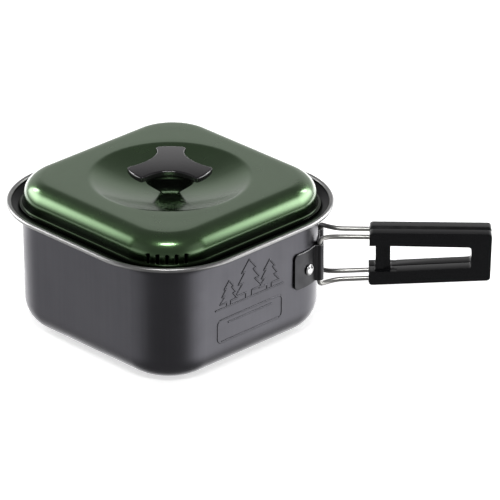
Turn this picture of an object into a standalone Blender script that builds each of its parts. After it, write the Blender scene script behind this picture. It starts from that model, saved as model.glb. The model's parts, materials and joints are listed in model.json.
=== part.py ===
"""Square camping pot with a strainer lid and two fold-away wire handles.

Metres, +Z up. The origin is the middle of the pot's underside. Seen from above
the pot is a diamond: its rounded corners point along X and Y, the handles reach
out along +X from a bracket on one corner, and the strainer slots of the lid are
over the corner at -Y. "Half" means half the width across two opposite flat
sides, and "corner" means the radius of the rounded corners, seen from above.
"""

import math

import bmesh
import bpy
from mathutils import Matrix, Vector

# Clearance kept between pieces that rest on each other.
GAP = 0.0003

# Pot, outer surface.
POT_SHEET = 0.0012
POT_HALF = 0.0681
POT_CORNER = 0.0313
POT_TAPER = 0.0008
BASE_FILLET = 0.017
FLARE_BOTTOM_Z = 0.0668
FLARE_TOP_Z = 0.0742
FLARE_REACH = 0.0099
FLARE_CORNER_GAIN = 1.66
BEAD_RADIUS = 0.0014
BEAD_REACH = 0.0105
BEAD_Z = 0.0755
BEAD_START = -80
BEAD_SWEEP = 245

# Lid, outer surface.
LID_SHEET = 0.0010
LID_HALF = 0.0674
LID_CORNER = 0.0309
LID_TOP_Z = 0.0903
LID_SHOULDER = 0.011
LID_CORNER_GAIN = 0.8
LIP_REACH = 0.0021
LIP_TOP_Z = 0.0744
LIP_BEND_Z = 0.0768
DISH_RADIUS = 0.0448
DISH_DEPTH = 0.009
DISH_SEAT_RADIUS = 0.008
DISH_EDGE = 0.0022
SLOT_COUNT = 5
SLOT_WIDTH = 0.0018
SLOT_PITCH = 0.0052
SLOT_BOTTOM_Z = 0.0752
SLOT_TOP_Z = 0.0811

# Knob: a plate with three wings on a three-sided stem.
WING_RADIUS = 0.0243
WAIST_RADIUS = 0.0120
WAIST_ARC = 0.0205
WING_CORNER = 0.0014
PLATE_TOP_Z = 0.0980
PLATE_BOTTOM_Z = 0.0947
PLATE_EDGE = 0.0007
PLATE_CROWN = 0.0016
FOOT_FLAT = 0.0043
FOOT_CORNER = 0.0058
# (share of the stem's height, growth of its flats, growth of its corners)
STEM_GROWTH = (
    (0, 1, 1),
    (0.15, 1.1, 1.4),
    (0.34, 1.35, 2.0),
    (0.5, 1.65, 2.45),
    (0.73, 2.15, 2.75),
    (0.9, 2.5, 3.1),
)
SOCKET_RADIUS = 0.00315
SOCKET_DEPTH = 0.0105

# Screw that holds the knob, with its threaded insert and washer.
SCREW_RADIUS = 0.0020
SCREW_HEAD_RADIUS = 0.0040
SCREW_HEAD_HEIGHT = 0.0022
SCREW_CLEARANCE = 0.0002
INSERT_RADIUS = 0.0029
INSERT_LENGTH = 0.0085
WASHER_RADIUS = 0.0062
WASHER_THICKNESS = 0.0010

# Wire handles: one loop in front of the middle plane and its mirror image.
WIRE_RADIUS = 0.00135
HINGE_X = 0.0840
HINGE_Y = 0.0103
HINGE_LOW_Z = 0.0282
HINGE_HIGH_Z = 0.0564
WIRE_BEND = 0.0025
LEG_Y = 0.0053
LEG_START_X = 0.099
LEG_END_X = 0.150
LEG_TURN = math.radians(37)

# Grips: flat plates on the ends of the wires.
GRIP_START_X = 0.1118
GRIP_BAR_X = 0.1157
GRIP_END_X = 0.1812
GRIP_INNER_Y = 0.0004
GRIP_OUTER_Y = 0.0078
GRIP_LOW_Z = (0.0265, 0.0297)
GRIP_HIGH_Z = (0.0592, 0.0587)
WINDOW_X = (0.1240, 0.1696)
WINDOW_LOW_Z = (0.0350, 0.0376)
WINDOW_HIGH_Z = (0.0511, 0.0503)
WINDOW_CORNER = 0.0016
NOTCH_CORNER = 0.0010
GRIP_CORNER = 0.0022
GRIP_EDGE = 0.0006
LEG_LOW_Z = 0.0299
LEG_HIGH_Z = 0.0556

# Bracket round the corner at +X, and the rivets through it.
BRACKET_SHEET = 0.0008
BRACKET_GAP = 0.0001
BRACKET_LOW_Z = 0.0318
BRACKET_HIGH_Z = 0.0538
BRACKET_FLAT = 0.0062
BRACKET_TAB_CORNER = 0.0028
BARREL_SWEEP = 200
RIVET_ANGLE = math.radians(36)
RIVET_Z = 0.0417
RIVET_HEAD_RADIUS = 0.00325
RIVET_HEAD_HEIGHT = 0.0016
RIVET_SHANK_RADIUS = 0.0020
RIVET_TAIL_RADIUS = 0.0030
RIVET_TAIL_HEIGHT = 0.0012

# How finely the shapes are divided.
CORNER_STEPS = 9
FILLET_STEPS = 6
BEAD_STEPS = 7
ROUND_SIDES = 24
WIRE_SIDES = 10

# Worked out from the sizes above.
CORNER_CENTRE = (POT_HALF - POT_CORNER) * math.sqrt(2)
DISH_SEAT_Z = LID_TOP_Z - DISH_DEPTH
LOW_TAPER = (GRIP_LOW_Z[1] - GRIP_LOW_Z[0]) / (GRIP_END_X - GRIP_START_X)
HIGH_TAPER = (GRIP_HIGH_Z[1] - GRIP_HIGH_Z[0]) / (GRIP_END_X - GRIP_START_X)


def clear_scene():
    for old in list(bpy.data.objects):
        bpy.data.objects.remove(old, do_unlink=True)


def make_material(name, colour, roughness, metallic):
    material = bpy.data.materials.new(name)
    material.use_nodes = True
    shader = material.node_tree.nodes["Principled BSDF"]
    shader.inputs["Base Color"].default_value = (*colour, 1)
    shader.inputs["Roughness"].default_value = roughness
    shader.inputs["Metallic"].default_value = metallic
    return material


def add_object(name, bm, material=None, sharp_angle=35):
    """Turn a bmesh into an object in the scene, with its faces out and shaded smooth."""
    bmesh.ops.recalc_face_normals(bm, faces=bm.faces)
    mesh = bpy.data.meshes.new(name)
    bm.to_mesh(mesh)
    bm.free()
    mesh.shade_smooth()
    mesh.set_sharp_from_angle(angle=math.radians(sharp_angle))
    obj = bpy.data.objects.new(name, mesh)
    bpy.context.scene.collection.objects.link(obj)
    if material:
        mesh.materials.append(material)
    return obj


def hide_cutter(obj):
    obj.hide_render = True
    obj.display_type = "WIRE"
    return obj


def cut(obj, cutter):
    """Take the cutter's volume out of the object."""
    modifier = obj.modifiers.new("cut_" + cutter.name, "BOOLEAN")
    modifier.operation = "DIFFERENCE"
    modifier.solver = "EXACT"
    modifier.object = hide_cutter(cutter)


def loft(rings, closed=False):
    """Bridge rings of equally many points, then cap the ends or join the last ring to the first."""
    bm = bmesh.new()
    loops = [[bm.verts.new(point) for point in ring] for ring in rings]
    count = len(rings[0])
    pairs = list(zip(loops, loops[1:]))
    if closed:
        pairs.append((loops[-1], loops[0]))
    for near, far in pairs:
        for i in range(count):
            j = (i + 1) % count
            bm.faces.new((near[i], near[j], far[j], far[i]))
    if not closed:
        bm.faces.new(loops[0])
        bm.faces.new(loops[-1])
    return bm


def square_ring(half, corner, height):
    """Rounded square with its corners on the X and Y axes."""
    centre = (half - corner) * math.sqrt(2)
    points = []
    for quarter in range(4):
        axis = math.radians(90 * quarter)
        for step in range(CORNER_STEPS + 1):
            turn = axis + math.radians(90 * step / CORNER_STEPS - 45)
            x = centre * math.cos(axis) + corner * math.cos(turn)
            y = centre * math.sin(axis) + corner * math.sin(turn)
            points.append(Vector((x, y, height)))
    return points


def circle_ring(radius, height):
    """Circle with as many points as a rounded square, in the same order."""
    count = 4 * (CORNER_STEPS + 1)
    points = []
    for i in range(count):
        turn = math.radians(360 * (i + 0.5) / count - 45)
        points.append(Vector((radius * math.cos(turn), radius * math.sin(turn), height)))
    return points


def bezier(start, lead, trail, end, steps):
    """Points along one cubic curve, both ends included."""
    points = []
    for step in range(steps + 1):
        t = step / steps
        s = 1 - t
        point = s * s * s * start + 3 * s * s * t * lead + 3 * s * t * t * trail + t * t * t * end
        points.append(point)
    return points


def turned(profile, sides=ROUND_SIDES):
    """Spin a profile of (radius, height) round the Z axis, capping the ends that reach it."""
    rings = []
    for radius, height in profile:
        ring = []
        for i in range(sides):
            turn = 2 * math.pi * i / sides
            ring.append(Vector((radius * math.cos(turn), radius * math.sin(turn), height)))
        rings.append(ring)
    return rings


def cylinder(name, radius, start, end, sides=ROUND_SIDES):
    """Cutter between two points."""
    along = end - start
    bm = loft(turned([(radius, 0), (radius, along.length)], sides))
    obj = add_object(name, bm)
    obj.location = start
    obj.rotation_mode = "QUATERNION"
    obj.rotation_quaternion = along.to_track_quat("Z", "Y")
    return obj


# ---- pot ----

def pot_ring(flare, offset, height):
    """Ring of the pot: flare moves out with growing corners, offset keeps the corner centres."""
    corner = POT_CORNER + FLARE_CORNER_GAIN * flare + offset
    return square_ring(POT_HALF + flare + offset, corner, height)


def flare_curve():
    """(reach, height) of the outer surface from the wall up to the rolled edge."""
    start = Vector((0, FLARE_BOTTOM_Z))
    lead = Vector((0, FLARE_BOTTOM_Z + 0.6 * (FLARE_TOP_Z - FLARE_BOTTOM_Z)))
    trail = Vector((0.2 * FLARE_REACH, FLARE_BOTTOM_Z + 0.8 * (FLARE_TOP_Z - FLARE_BOTTOM_Z)))
    end = Vector((FLARE_REACH, FLARE_TOP_Z))
    return bezier(start, lead, trail, end, FILLET_STEPS)


def pot_rings():
    """Rings up the outside, round the rolled edge and down the inside."""
    outside = []
    inside = []
    for step in range(FILLET_STEPS + 1):
        turn = math.pi / 2 * step / FILLET_STEPS
        shift = BASE_FILLET * (math.sin(turn) - 1) - POT_TAPER
        outside.append(pot_ring(0, shift, BASE_FILLET * (1 - math.cos(turn))))
        inner = BASE_FILLET - POT_SHEET
        shift = inner * math.sin(turn) - BASE_FILLET - POT_TAPER
        inside.append(pot_ring(0, shift, BASE_FILLET - inner * math.cos(turn)))
    curve = flare_curve()
    for i, point in enumerate(curve):
        before = curve[max(i - 1, 0)]
        after = curve[min(i + 1, len(curve) - 1)]
        along = (after - before).normalized()
        inward = Vector((-along.y, along.x)) * POT_SHEET
        outside.append(pot_ring(point.x, 0, point.y))
        inside.append(pot_ring(point.x, inward.x, point.y + inward.y))
    bead = []
    for step in range(BEAD_STEPS + 1):
        turn = math.radians(BEAD_START + BEAD_SWEEP * step / BEAD_STEPS)
        reach = BEAD_RADIUS * math.cos(turn)
        bead.append(pot_ring(BEAD_REACH, reach, BEAD_Z + BEAD_RADIUS * math.sin(turn)))
    return outside + bead + inside[::-1]


def make_pot(material):
    return add_object("pot_body", loft(pot_rings()), material)


# ---- lid ----

def lid_ring(flare, offset, height):
    corner = LID_CORNER + LID_CORNER_GAIN * flare + offset
    return square_ring(LID_HALF + flare + offset, corner, height)


def lid_skirt(sheet):
    """Skirt and lip, from the lip's edge upward. sheet is 0 outside and the thickness inside."""
    lift = sheet - LID_SHEET
    return [
        lid_ring(LIP_REACH, 0, LIP_TOP_Z - sheet),
        lid_ring(0.60 * LIP_REACH, 0, LIP_TOP_Z + 0.0001 - sheet),
        lid_ring(0.24 * LIP_REACH, -0.7 * sheet, LIP_TOP_Z + 0.0007 - 0.7 * sheet),
        lid_ring(0.05 * LIP_REACH, -sheet, LIP_BEND_Z + 0.3 * lift + 0.3 * LID_SHEET),
        lid_ring(0, -sheet, LID_TOP_Z - LID_SHOULDER),
    ]


def lid_shoulder(sheet):
    """Rounded edge between the skirt and the flat top."""
    radius = LID_SHOULDER - sheet
    rings = []
    for step in range(1, FILLET_STEPS + 1):
        turn = math.pi / 2 * step / FILLET_STEPS
        shift = radius * math.cos(turn) - LID_SHOULDER
        height = LID_TOP_Z - LID_SHOULDER + radius * math.sin(turn)
        rings.append(lid_ring(0, shift, height))
    return rings


def dish_height(radius, sheet):
    """Height of the dish: a shallow ball with a small flat seat for the knob."""
    ball = (DISH_RADIUS ** 2 + DISH_DEPTH ** 2) / (2 * DISH_DEPTH)
    reach = max(radius, DISH_SEAT_RADIUS)
    sag = math.sqrt(ball ** 2 - reach ** 2) - math.sqrt(ball ** 2 - DISH_SEAT_RADIUS ** 2)
    return DISH_SEAT_Z - sag - sheet


def lid_dish(sheet):
    """Circles from the flat top down into the dish and in to the screw hole."""
    rings = [circle_ring(DISH_RADIUS + DISH_EDGE, LID_TOP_Z - sheet)]
    rings.append(circle_ring(DISH_RADIUS + 0.2 * DISH_EDGE, LID_TOP_Z - 0.10 * DISH_EDGE - sheet))
    for share in (0.97, 0.82, 0.66, 0.5, 0.34):
        radius = share * DISH_RADIUS
        rings.append(circle_ring(radius, dish_height(radius, sheet)))
    rings.append(circle_ring(DISH_SEAT_RADIUS, DISH_SEAT_Z - sheet))
    rings.append(circle_ring(SCREW_RADIUS + GAP, DISH_SEAT_Z - sheet))
    return rings


def slot_cutter(index):
    """Upright slot with round ends through the skirt at the -Y corner."""
    middle = (index - (SLOT_COUNT - 1) / 2) * SLOT_PITCH
    radius = SLOT_WIDTH / 2
    outline = []
    for end_z, start in ((SLOT_TOP_Z - radius, 0), (SLOT_BOTTOM_Z + radius, 180)):
        for step in range(5):
            turn = math.radians(start + 45 * step)
            outline.append((middle + radius * math.cos(turn), end_z + radius * math.sin(turn)))
    depth = LID_HALF - LID_CORNER
    near = -(depth * math.sqrt(2) + LID_CORNER + 3 * LIP_REACH)
    far = near + 5 * LIP_REACH
    rings = [[Vector((x, y, z)) for x, z in outline] for y in (near, far)]
    return add_object(f"slot_cutter_{index}", loft(rings))


def make_lid(material):
    outer = lid_skirt(0) + lid_shoulder(0) + lid_dish(0)
    inner = lid_skirt(LID_SHEET) + lid_shoulder(LID_SHEET) + lid_dish(LID_SHEET)
    lid = add_object("lid_shell", loft(outer + inner[::-1], closed=True), material)
    for index in range(SLOT_COUNT):
        cut(lid, slot_cutter(index))
    return lid


# ---- knob ----

def plate_outline(inset):
    """(angle, radius) round the winged plate; one wing points along +Y."""
    hollow = WAIST_RADIUS + WAIST_ARC
    arc = WAIST_ARC + inset
    outer = WING_RADIUS - inset
    round_off = WING_CORNER - inset
    # The corner circle touches the wing's end from inside and the hollow from outside.
    reach = outer - round_off
    cosine = (reach ** 2 + hollow ** 2 - (arc + round_off) ** 2) / (2 * reach * hollow)
    corner_angle = math.radians(60) - math.acos(cosine)
    corner = Vector((reach * math.cos(corner_angle), reach * math.sin(corner_angle)))
    hollow_middle = Vector((hollow * math.cos(math.radians(60)), hollow * math.sin(math.radians(60))))
    half_wing = []
    for step in range(4):
        turn = corner_angle * step / 4
        half_wing.append(Vector((outer * math.cos(turn), outer * math.sin(turn))))
    toward = hollow_middle - corner
    end_turn = math.atan2(toward.y, toward.x)
    for step in range(4):
        turn = corner_angle + (end_turn - corner_angle) * step / 3
        half_wing.append(corner + round_off * Vector((math.cos(turn), math.sin(turn))))
    first = end_turn + math.pi
    last = math.radians(240)
    for step in range(1, 7):
        turn = first + (last - first) * step / 6
        half_wing.append(hollow_middle + arc * Vector((math.cos(turn), math.sin(turn))))
    polar = [(math.atan2(point.y, point.x), point.length) for point in half_wing]
    mirrored = [(-angle, radius) for angle, radius in polar[1:-1]]
    wing = mirrored[::-1] + polar
    points = []
    for number in range(3):
        base = math.radians(90 + 120 * number)
        points += [(base + angle, radius) for angle, radius in wing]
    return points


def crown(radius):
    """How far the plate's middle stands above its wing tips at this radius."""
    return PLATE_CROWN * (1 - (radius / WING_RADIUS) ** 2)


def stem_stations():
    """(height, flat distance, corner distance) from the foot up to the plate's underside."""
    base = DISH_SEAT_Z + GAP
    rise = PLATE_BOTTOM_Z - base
    stations = []
    for share, flat, corner in STEM_GROWTH:
        stations.append((base + rise * share, FOOT_FLAT * flat, FOOT_CORNER * corner))
    return stations


def stem_radius(angle, flat, corner):
    """Three-sided stem whose blunt corners point along the wings."""
    from_flat = (angle - math.radians(150)) % math.radians(120)
    from_flat = min(from_flat, math.radians(120) - from_flat)
    return min(flat / math.cos(from_flat), corner)


def knob_rings():
    """Rings up the stem, out under the plate, round its edge and in over its crowned top."""
    rings = []
    for height, flat, corner in stem_stations():
        ring = []
        for angle, _ in plate_outline(0):
            radius = stem_radius(angle, flat, corner)
            ring.append(Vector((radius * math.cos(angle), radius * math.sin(angle), height)))
        rings.append(ring)
    plate = (
        (PLATE_EDGE, 1, PLATE_BOTTOM_Z),
        (0.3 * PLATE_EDGE, 1, PLATE_BOTTOM_Z + 0.3 * PLATE_EDGE),
        (0, 1, PLATE_BOTTOM_Z + PLATE_EDGE),
        (0, 1, PLATE_TOP_Z - PLATE_EDGE),
        (0.3 * PLATE_EDGE, 1, PLATE_TOP_Z - 0.3 * PLATE_EDGE),
        (PLATE_EDGE, 1, PLATE_TOP_Z),
        (PLATE_EDGE, 0.7, PLATE_TOP_Z),
        (PLATE_EDGE, 0.35, PLATE_TOP_Z),
    )
    for inset, share, height in plate:
        ring = []
        for angle, outline in plate_outline(inset):
            radius = share * outline
            level = height + crown(radius)
            ring.append(Vector((radius * math.cos(angle), radius * math.sin(angle), level)))
        rings.append(ring)
    return rings


def make_knob(material):
    knob = add_object("lid_knob", loft(knob_rings()), material)
    start = Vector((0, 0, DISH_SEAT_Z - GAP))
    end = Vector((0, 0, DISH_SEAT_Z + SOCKET_DEPTH))
    cut(knob, cylinder("socket_cutter", SOCKET_RADIUS, start, end))
    return knob


def make_insert(material):
    """Brass bush moulded into the knob's foot."""
    low = DISH_SEAT_Z + 2 * GAP
    high = low + INSERT_LENGTH
    bore = SCREW_RADIUS + SCREW_CLEARANCE
    rings = turned([(bore, low), (INSERT_RADIUS, low), (INSERT_RADIUS, high), (bore, high)])
    return add_object("knob_insert", loft(rings, closed=True), material)


def make_washer(material):
    high = DISH_SEAT_Z - LID_SHEET - GAP
    low = high - WASHER_THICKNESS
    bore = SCREW_RADIUS + GAP
    rings = turned([(bore, low), (WASHER_RADIUS, low), (WASHER_RADIUS, high), (bore, high)])
    return add_object("knob_washer", loft(rings, closed=True), material)


def make_screw(material):
    """Round-headed screw from below, with a cross recess."""
    seat = DISH_SEAT_Z - LID_SHEET - WASHER_THICKNESS - 2 * GAP
    bottom = seat - SCREW_HEAD_HEIGHT
    tip = DISH_SEAT_Z + INSERT_LENGTH
    profile = [
        (0.55 * SCREW_HEAD_RADIUS, bottom),
        (0.85 * SCREW_HEAD_RADIUS, bottom + 0.25 * SCREW_HEAD_HEIGHT),
        (SCREW_HEAD_RADIUS, bottom + 0.6 * SCREW_HEAD_HEIGHT),
        (SCREW_HEAD_RADIUS, seat),
        (SCREW_RADIUS, seat),
        (SCREW_RADIUS, tip - 0.25 * SCREW_RADIUS),
        (0.75 * SCREW_RADIUS, tip),
    ]
    screw = add_object("knob_screw", loft(turned(profile)), material)
    for name, turn in (("recess_cutter_a", 0), ("recess_cutter_b", 90)):
        bm = bmesh.new()
        bmesh.ops.create_cube(bm, size=1)
        size = (0.9 * SCREW_HEAD_RADIUS, 0.2 * SCREW_HEAD_RADIUS, SCREW_HEAD_HEIGHT)
        bmesh.ops.scale(bm, vec=size, verts=bm.verts)
        cutter = add_object(name, bm)
        cutter.location = (0, 0, bottom)
        cutter.rotation_euler = (0, 0, math.radians(turn))
        cut(screw, cutter)
    return screw


# ---- bracket and rivets ----

def bracket_middle_line():
    """Plan points along the middle of the sheet, from the front tab's end to the rear tab's."""
    radius = POT_CORNER + BRACKET_GAP + BRACKET_SHEET / 2
    centre = Vector((CORNER_CENTRE, 0))
    hinge = Vector((HINGE_X, HINGE_Y))
    arm = hinge - centre
    barrel_turn = math.atan2(arm.y, arm.x)
    barrel = WIRE_RADIUS + GAP + BRACKET_SHEET / 2
    foot_turn = math.asin(1.45 * barrel / radius)
    half = []
    for step in range(4):
        turn = (barrel_turn - foot_turn) * step / 3
        half.append(centre + radius * Vector((math.cos(turn), math.sin(turn))))
    for step in range(9):
        turn = barrel_turn + math.radians(BARREL_SWEEP * (step / 8 - 0.5))
        half.append(hinge + barrel * Vector((math.cos(turn), math.sin(turn))))
    first = barrel_turn + foot_turn
    for step in range(5):
        turn = first + (math.pi / 4 - first) * step / 4
        half.append(centre + radius * Vector((math.cos(turn), math.sin(turn))))
    along = Vector((-1, 1)).normalized()
    end = half[-1]
    for share in (0.45, 0.8, 0.95, 1):
        half.append(end + along * BRACKET_FLAT * share)
    mirrored = [Vector((point.x, -point.y)) for point in half[:0:-1]]
    return mirrored + half


def make_bracket(material):
    line = bracket_middle_line()
    rings = []
    last = len(line) - 1
    for i, point in enumerate(line):
        along = (line[min(i + 1, last)] - line[max(i - 1, 0)]).normalized()
        side = Vector((along.y, -along.x)) * BRACKET_SHEET / 2
        to_end = min((point - line[0]).length, (point - line[-1]).length)
        missing = max(BRACKET_TAB_CORNER - to_end, 0)
        trim = BRACKET_TAB_CORNER - math.sqrt(BRACKET_TAB_CORNER ** 2 - missing ** 2)
        trim = min(trim, 0.85 * BRACKET_TAB_CORNER)
        ring = []
        for plan, height in (
            (point - side, BRACKET_LOW_Z + trim),
            (point + side, BRACKET_LOW_Z + trim),
            (point + side, BRACKET_HIGH_Z - trim),
            (point - side, BRACKET_HIGH_Z - trim),
        ):
            ring.append(Vector((plan.x, plan.y, height)))
        rings.append(ring)
    return add_object("handle_bracket", loft(rings), material)


def rivet_placement(side):
    """Matrix that puts a rivet's axis square to the wall; side is -1 in front and 1 behind."""
    turn = side * RIVET_ANGLE
    centre = Vector((CORNER_CENTRE, 0, RIVET_Z))
    outward = Vector((math.cos(turn), math.sin(turn), 0))
    place = Matrix.Translation(centre + outward * POT_CORNER)
    return place @ outward.to_track_quat("Z", "Y").to_matrix().to_4x4()


def make_rivet(name, side, material):
    """Solid rivet: domed head outside the bracket, flat tail inside the pot."""
    seat = BRACKET_GAP + BRACKET_SHEET + GAP
    tail = -POT_SHEET - 3 * GAP
    dome = []
    for step in range(1, 4):
        turn = math.radians(90 * (4 - step) / 4)
        rise = RIVET_HEAD_HEIGHT * (0.3 + 0.7 * math.cos(turn))
        dome.append((RIVET_HEAD_RADIUS * math.sin(turn), seat + rise))
    profile = [
        (0.8 * RIVET_TAIL_RADIUS, tail - RIVET_TAIL_HEIGHT),
        (RIVET_TAIL_RADIUS, tail - 0.6 * RIVET_TAIL_HEIGHT),
        (RIVET_TAIL_RADIUS, tail),
        (RIVET_SHANK_RADIUS, tail),
        (RIVET_SHANK_RADIUS, seat),
        (RIVET_HEAD_RADIUS, seat),
        (RIVET_HEAD_RADIUS, seat + 0.3 * RIVET_HEAD_HEIGHT),
    ]
    rivet = add_object(name, loft(turned(profile + dome)), material)
    rivet.matrix_world = rivet_placement(side)
    return rivet


def cut_rivet_hole(obj, name, side):
    place = rivet_placement(side)
    start = place @ Vector((0, 0, -4 * POT_SHEET))
    end = place @ Vector((0, 0, 4 * POT_SHEET))
    cut(obj, cylinder(name, RIVET_SHANK_RADIUS + GAP, start, end))


# ---- handles ----

def leg_point(x, high):
    """Point on the straight part of a leg, which follows the grip's taper."""
    if high:
        return Vector((x, LEG_Y, LEG_HIGH_Z + HIGH_TAPER * (x - GRIP_START_X)))
    return Vector((x, LEG_Y, LEG_LOW_Z + LOW_TAPER * (x - GRIP_START_X)))


def leg_path(high):
    """Points from the hinge's end to the wire's end inside the grip."""
    height = HINGE_HIGH_Z if high else HINGE_LOW_Z
    sign = 1 if high else -1
    outward = Vector((math.cos(LEG_TURN), -math.sin(LEG_TURN), 0))
    hinge = Vector((HINGE_X, HINGE_Y, 0))
    points = []
    for step in range(5):
        turn = math.pi / 2 * step / 4
        shift = outward * WIRE_BEND * (1 - math.cos(turn))
        level = height - sign * WIRE_BEND * (1 - math.sin(turn))
        points.append(hinge + shift + Vector((0, 0, level)))
    start = points.pop()
    end = leg_point(LEG_START_X, high)
    points += bezier(start, start + 0.0045 * outward, end - Vector((0.005, 0, 0)), end, 7)
    points.append(leg_point(0.5 * (LEG_START_X + LEG_END_X), high))
    points.append(leg_point(LEG_END_X, high))
    return points


def make_loop(name, side, pivot, material):
    """Bent wire with its upright stretch on the hinge axis; side is -1 in front and 1 behind."""
    upper = leg_path(True)
    lower = leg_path(False)
    path = [Vector((p.x, side * p.y, p.z)) for p in upper[::-1] + lower]
    frames = []
    for i, point in enumerate(path):
        ahead = path[min(i + 1, len(path) - 1)] - point
        behind = point - path[max(i - 1, 0)]
        frames.append((point, (ahead.normalized() + behind.normalized()).normalized()))
    across = Vector((0, 1, 0))
    rings = []
    for point, along in frames:
        across = (across - along * across.dot(along)).normalized()
        other = along.cross(across)
        ring = []
        for i in range(WIRE_SIDES):
            turn = 2 * math.pi * i / WIRE_SIDES
            spoke = math.cos(turn) * across + math.sin(turn) * other
            ring.append(point + WIRE_RADIUS * spoke - pivot.location)
        rings.append(ring)
    loop = add_object(name, loft(rings), material)
    loop.parent = pivot
    return loop


def rounded_outline(corners, radius, steps=3):
    """Closed outline in (x, z) with each corner replaced by an arc."""
    points = []
    count = len(corners)
    for i, corner in enumerate(corners):
        back = (corners[i - 1] - corner).normalized()
        ahead = (corners[(i + 1) % count] - corner).normalized()
        half_angle = back.angle(ahead) / 2
        reach = radius / math.tan(half_angle)
        start = corner + back * reach
        end = corner + ahead * reach
        middle = corner + (back + ahead).normalized() * radius / math.sin(half_angle)
        for step in range(steps + 1):
            arm = (start - middle).lerp(end - middle, step / steps)
            points.append(middle + radius * arm.normalized())
    return points


def slab(outline, low_y, high_y):
    """Extrude an (x, z) outline along Y."""
    return loft([[Vector((p.x, y, p.y)) for p in outline] for y in (low_y, high_y)])


def make_grip(name, side, pivot, material):
    corners = [
        Vector((GRIP_START_X, GRIP_LOW_Z[0])),
        Vector((GRIP_END_X, GRIP_LOW_Z[1])),
        Vector((GRIP_END_X, GRIP_HIGH_Z[1])),
        Vector((GRIP_START_X, GRIP_HIGH_Z[0])),
    ]
    window = [
        Vector((WINDOW_X[0], WINDOW_LOW_Z[0])),
        Vector((WINDOW_X[1], WINDOW_LOW_Z[1])),
        Vector((WINDOW_X[1], WINDOW_HIGH_Z[1])),
        Vector((WINDOW_X[0], WINDOW_HIGH_Z[0])),
    ]
    notch = [
        Vector((GRIP_START_X - 0.01, WINDOW_LOW_Z[0])),
        Vector((GRIP_BAR_X, WINDOW_LOW_Z[0])),
        Vector((GRIP_BAR_X, WINDOW_HIGH_Z[0])),
        Vector((GRIP_START_X - 0.01, WINDOW_HIGH_Z[0])),
    ]
    low_y, high_y = sorted((side * GRIP_INNER_Y, side * GRIP_OUTER_Y))
    grip = add_object(name, slab(rounded_outline(corners, GRIP_CORNER), low_y, high_y), material)
    for part, outline, radius in (("window", window, WINDOW_CORNER), ("notch", notch, NOTCH_CORNER)):
        bm = slab(rounded_outline(outline, radius), low_y - GRIP_CORNER, high_y + GRIP_CORNER)
        cut(grip, add_object(f"{name}_{part}_cutter", bm))
    edge = grip.modifiers.new("edge", "BEVEL")
    edge.width = GRIP_EDGE
    edge.segments = 2
    edge.limit_method = "ANGLE"
    edge.angle_limit = math.radians(50)
    for part, high in (("low", False), ("high", True)):
        start = leg_point(GRIP_START_X - 0.005, high)
        end = leg_point(LEG_END_X + GAP, high)
        start.y *= side
        end.y *= side
        cut(grip, cylinder(f"{name}_{part}_bore_cutter", WIRE_RADIUS + GAP, start, end, 16))
    grip.data.transform(Matrix.Translation(-pivot.location))
    grip.parent = pivot
    return grip


def make_pivot(name, side):
    """Empty on the hinge axis of one handle."""
    pivot = bpy.data.objects.new(name, None)
    pivot.location = (HINGE_X, side * HINGE_Y, (HINGE_LOW_Z + HINGE_HIGH_Z) / 2)
    bpy.context.scene.collection.objects.link(pivot)
    return pivot


def main():
    clear_scene()
    anodised = make_material("dark_anodised", (0.13, 0.13, 0.145), 0.38, 0.9)
    green = make_material("green_anodised", (0.08, 0.16, 0.06), 0.18, 1.0)
    black_gloss = make_material("black_gloss_plastic", (0.01, 0.01, 0.011), 0.08, 0.0)
    black_matte = make_material("black_matte_plastic", (0.015, 0.015, 0.016), 0.5, 0.0)
    stainless = make_material("stainless_wire", (0.7, 0.69, 0.66), 0.15, 1.0)
    zinc = make_material("zinc_steel", (0.55, 0.55, 0.54), 0.3, 1.0)
    dark_steel = make_material("dark_sheet_steel", (0.12, 0.12, 0.125), 0.4, 0.9)
    rivet_metal = make_material("rivet_aluminium", (0.85, 0.85, 0.85), 0.25, 1.0)
    brass = make_material("brass", (0.72, 0.55, 0.25), 0.3, 1.0)

    pot = make_pot(anodised)
    make_lid(green)
    make_knob(black_gloss)
    make_insert(brass)
    make_washer(stainless)
    make_screw(zinc)
    bracket = make_bracket(dark_steel)
    for place, side in (("front", -1), ("rear", 1)):
        make_rivet(f"rivet_{place}", side, rivet_metal)
        cut_rivet_hole(pot, f"pot_hole_cutter_{place}", side)
        cut_rivet_hole(bracket, f"bracket_hole_cutter_{place}", side)
        pivot = make_pivot(f"pivot_{place}", side)
        make_loop(f"wire_loop_{place}", side, pivot, stainless)
        make_grip(f"grip_{place}", side, pivot, black_matte)


main()
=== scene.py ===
import json
import math
import bmesh
import bpy
from mathutils import Matrix, Vector


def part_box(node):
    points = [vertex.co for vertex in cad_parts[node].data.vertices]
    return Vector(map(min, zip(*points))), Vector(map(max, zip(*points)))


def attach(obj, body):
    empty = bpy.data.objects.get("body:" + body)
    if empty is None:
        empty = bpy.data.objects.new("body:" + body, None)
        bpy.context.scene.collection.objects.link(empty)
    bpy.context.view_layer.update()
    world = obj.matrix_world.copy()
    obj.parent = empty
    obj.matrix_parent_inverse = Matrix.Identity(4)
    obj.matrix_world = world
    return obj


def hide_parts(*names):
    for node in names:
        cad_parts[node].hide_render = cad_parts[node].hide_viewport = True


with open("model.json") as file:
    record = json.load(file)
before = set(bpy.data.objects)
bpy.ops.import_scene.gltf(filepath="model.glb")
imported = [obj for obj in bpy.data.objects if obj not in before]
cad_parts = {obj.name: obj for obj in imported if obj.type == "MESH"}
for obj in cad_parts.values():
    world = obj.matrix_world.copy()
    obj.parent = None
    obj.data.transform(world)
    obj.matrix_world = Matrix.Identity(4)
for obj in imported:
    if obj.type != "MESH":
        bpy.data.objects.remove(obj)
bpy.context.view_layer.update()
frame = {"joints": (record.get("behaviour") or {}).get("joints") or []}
joints = {joint["name"]: joint for joint in frame["joints"]}

# ways of making a mesh that every piece below uses

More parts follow.
